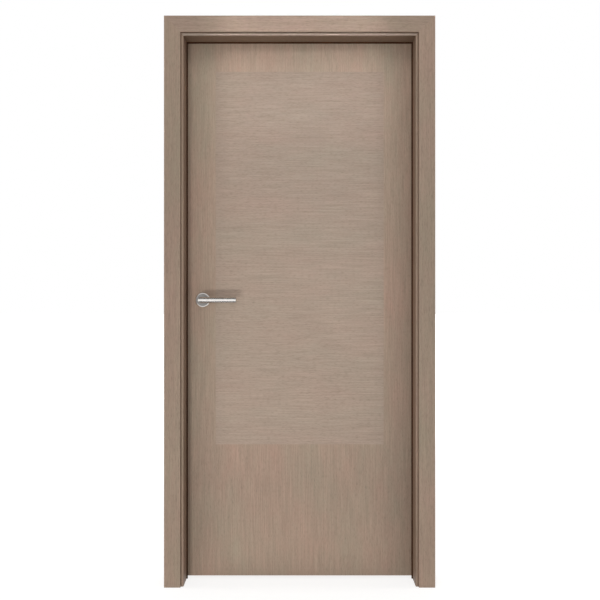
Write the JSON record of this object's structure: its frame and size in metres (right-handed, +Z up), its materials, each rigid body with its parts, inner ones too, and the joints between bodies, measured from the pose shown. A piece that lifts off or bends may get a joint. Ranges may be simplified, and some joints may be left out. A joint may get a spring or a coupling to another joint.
{
  "type": "interior door",
  "caption": "Flush veneered interior door with an inlaid cross-grain panel, in a rebated lining with mitred casings, with hinges, a latch and lever handles.",
  "frame": {"origin": "at the floor, on the wall-side face of the hinge jamb, in the middle of its depth", "axes": "+Z up, +X out of the hinge jamb into the wall beside it, +Y towards the side the leaf opens to"},
  "size_m": [1.023, 0.198, 2.1065],
  "materials": {
    "face_veneer": "satin, upright grain",
    "inlay_veneer": "satin, cross grain",
    "edge_veneer": "satin, upright grain",
    "upright_veneer": "satin, upright grain",
    "cross_veneer": "satin, level grain",
    "core_board": "raw particle board",
    "frame_pine": "planed pine, uncoated",
    "seal_rubber": "matte, dark brown",
    "satin_steel": "satin stainless",
    "zinc_steel": "nickel plated"
  },
  "bodies": {
    "frame": {"hinge_side_jamb": "upright_veneer", "latch_side_jamb": "upright_veneer", "head_jamb": "cross_veneer", "front_hinge_side_casing": "upright_veneer", "front_latch_side_casing": "upright_veneer", "front_head_casing": "cross_veneer", "back_hinge_side_casing": "upright_veneer", "back_latch_side_casing": "upright_veneer", "back_head_casing": "cross_veneer", "hinge_side_seal": "seal_rubber", "latch_side_seal": "seal_rubber", "head_seal": "seal_rubber", "strike_plate": "zinc_steel", "bottom_hinge_jamb_plate": "zinc_steel", "middle_hinge_jamb_plate": "zinc_steel", "top_hinge_jamb_plate": "zinc_steel", "bottom_hinge_pin": "zinc_steel", "middle_hinge_pin": "zinc_steel", "top_hinge_pin": "zinc_steel"},
    "leaf": {"latch_stile": "frame_pine", "hinge_stile": "frame_pine", "bottom_rail": "frame_pine", "top_rail": "frame_pine", "latch_block": "frame_pine", "core_board": "core_board", "front_face_board": "face_veneer", "back_face_board": "face_veneer", "front_inlay_panel": "inlay_veneer", "back_inlay_panel": "inlay_veneer", "latch_edge_lipping": "edge_veneer", "hinge_edge_lipping": "edge_veneer", "bottom_hinge_leaf_plate": "zinc_steel", "middle_hinge_leaf_plate": "zinc_steel", "top_hinge_leaf_plate": "zinc_steel", "latch_case": "zinc_steel", "latch_face_plate": "zinc_steel", "latch_bolt": "zinc_steel", "front_rose": "satin_steel", "back_rose": "satin_steel"},
    "handle": {"front_lever": "satin_steel", "back_lever": "satin_steel", "spindle": "satin_steel"}
  },
  "joints": [
    {"name": "door_swing", "type": "hinge", "parent": "frame", "child": "leaf", "pos_m": [-0.02575, 0.0705, 1.02], "axis": [0, 0, -1], "range_deg": [0, 110]},
    {"name": "lever_turn", "type": "hinge", "parent": "leaf", "child": "handle", "pos_m": [-0.829, 0.0425, 1.05], "axis": [0, 1, 0], "range_deg": [0, 45], "stiffness_Nm_per_rad": 2, "springref_deg": -28.65}
  ]
}
